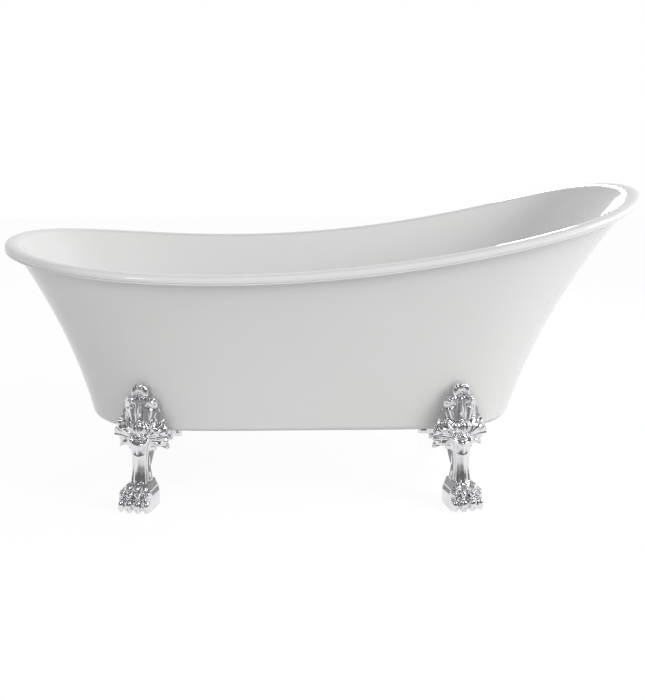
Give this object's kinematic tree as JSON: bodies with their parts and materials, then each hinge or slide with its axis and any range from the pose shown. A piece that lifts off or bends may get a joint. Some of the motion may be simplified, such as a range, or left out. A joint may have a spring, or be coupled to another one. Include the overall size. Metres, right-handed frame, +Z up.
{
  "type": "clawfoot bathtub",
  "caption": "Single-slipper bath with double acrylic walls, rolled rim, chrome lion-paw feet with levellers, overflow and press-to-close waste.",
  "frame": {"origin": "on the floor under the middle of the rim's bounding box", "axes": "+X from the low drain end to the high slipper end, +Y away from the side that is pictured, +Z up"},
  "size_m": [1.6999, 0.8, 0.7827],
  "materials": {
    "white_acrylic": "polished white sanitary acrylic",
    "glass_fibre": "rough sprayed glass-fibre resin",
    "plywood": "plain birch plywood",
    "polished_chrome": "bright chrome plate",
    "zinc_steel": "zinc-plated steel",
    "spring_steel": "stainless spring wire",
    "black_rubber": "soft black rubber",
    "grey_nylon": "moulded grey nylon",
    "white_pipe": "smooth white waste plastic",
    "grey_pipe": "flexible grey hose"
  },
  "bodies": {
    "root": {"inner_shell": "white_acrylic", "outer_skirt": "white_acrylic", "basin_laminate": "glass_fibre", "skirt_laminate": "glass_fibre", "base_board": "plywood", "foot_studs": "zinc_steel", "foot_washers": "zinc_steel", "foot_nuts": "zinc_steel", "stud_plates": "zinc_steel", "foot_gaskets": "black_rubber", "crest_bumpers": "black_rubber", "drain_flange": "polished_chrome", "drain_gasket": "black_rubber", "drain_washer": "black_rubber", "waste_body": "white_pipe", "stopper_post": "zinc_steel", "stopper_spring": "spring_steel", "tailpiece": "polished_chrome", "tailpiece_nut": "polished_chrome", "tailpiece_washer": "black_rubber", "overflow_face_plate": "polished_chrome", "overflow_screws": "polished_chrome", "overflow_gasket": "black_rubber", "overflow_body": "white_pipe", "overflow_hose": "grey_pipe", "hose_clamps": "zinc_steel", "claw_foot_near_low": "polished_chrome", "claw_foot_near_high": "polished_chrome", "claw_foot_far_low": "polished_chrome", "claw_foot_far_high": "polished_chrome"},
    "stopper": {"stopper_cap": "polished_chrome", "stopper_seal": "black_rubber", "stopper_sleeve": "polished_chrome"},
    "levelling_pad_near_low": {"leveller_pad_near_low": "grey_nylon"},
    "levelling_stud_near_low": {"leveller_stud_near_low": "zinc_steel"},
    "levelling_pad_near_high": {"leveller_pad_near_high": "grey_nylon"},
    "levelling_stud_near_high": {"leveller_stud_near_high": "zinc_steel"},
    "levelling_pad_far_low": {"leveller_pad_far_low": "grey_nylon"},
    "levelling_stud_far_low": {"leveller_stud_far_low": "zinc_steel"},
    "levelling_pad_far_high": {"leveller_pad_far_high": "grey_nylon"},
    "levelling_stud_far_high": {"leveller_stud_far_high": "zinc_steel"}
  },
  "joints": [
    {"name": "stopper_lift", "type": "slide", "parent": "root", "child": "stopper", "axis": [0, 0, 1], "range_m": [0, 0.01], "deforming": ["stopper_spring"]},
    {"name": "leveller_travel_near_low", "type": "slide", "parent": "root", "child": "levelling_pad_near_low", "axis": [0, 0, -1], "range_m": [0, 0.012]},
    {"name": "leveller_turn_near_low", "type": "hinge", "parent": "levelling_pad_near_low", "child": "levelling_stud_near_low", "pos_m": [-0.466, -0.29492, 0.02], "axis": [0, 0, -1], "range_deg": [0, 2880]},
    {"name": "leveller_travel_near_high", "type": "slide", "parent": "root", "child": "levelling_pad_near_high", "axis": [0, 0, -1], "range_m": [0, 0.012]},
    {"name": "leveller_turn_near_high", "type": "hinge", "parent": "levelling_pad_near_high", "child": "levelling_stud_near_high", "pos_m": [0.346, -0.30275, 0.02], "axis": [0, 0, -1], "range_deg": [0, 2880]},
    {"name": "leveller_travel_far_low", "type": "slide", "parent": "root", "child": "levelling_pad_far_low", "axis": [0, 0, -1], "range_m": [0, 0.012]},
    {"name": "leveller_turn_far_low", "type": "hinge", "parent": "levelling_pad_far_low", "child": "levelling_stud_far_low", "pos_m": [-0.466, 0.29492, 0.02], "axis": [0, 0, -1], "range_deg": [0, 2880]},
    {"name": "leveller_travel_far_high", "type": "slide", "parent": "root", "child": "levelling_pad_far_high", "axis": [0, 0, -1], "range_m": [0, 0.012]},
    {"name": "leveller_turn_far_high", "type": "hinge", "parent": "levelling_pad_far_high", "child": "levelling_stud_far_high", "pos_m": [0.346, 0.30275, 0.02], "axis": [0, 0, -1], "range_deg": [0, 2880]}
  ],
  "couplings": [
    {"joint": "leveller_turn_near_low", "follows": "leveller_travel_near_low", "rad_per_m": 4188.8},
    {"joint": "leveller_turn_near_high", "follows": "leveller_travel_near_high", "rad_per_m": 4188.8},
    {"joint": "leveller_turn_far_low", "follows": "leveller_travel_far_low", "rad_per_m": 4188.8},
    {"joint": "leveller_turn_far_high", "follows": "leveller_travel_far_high", "rad_per_m": 4188.8}
  ]
}
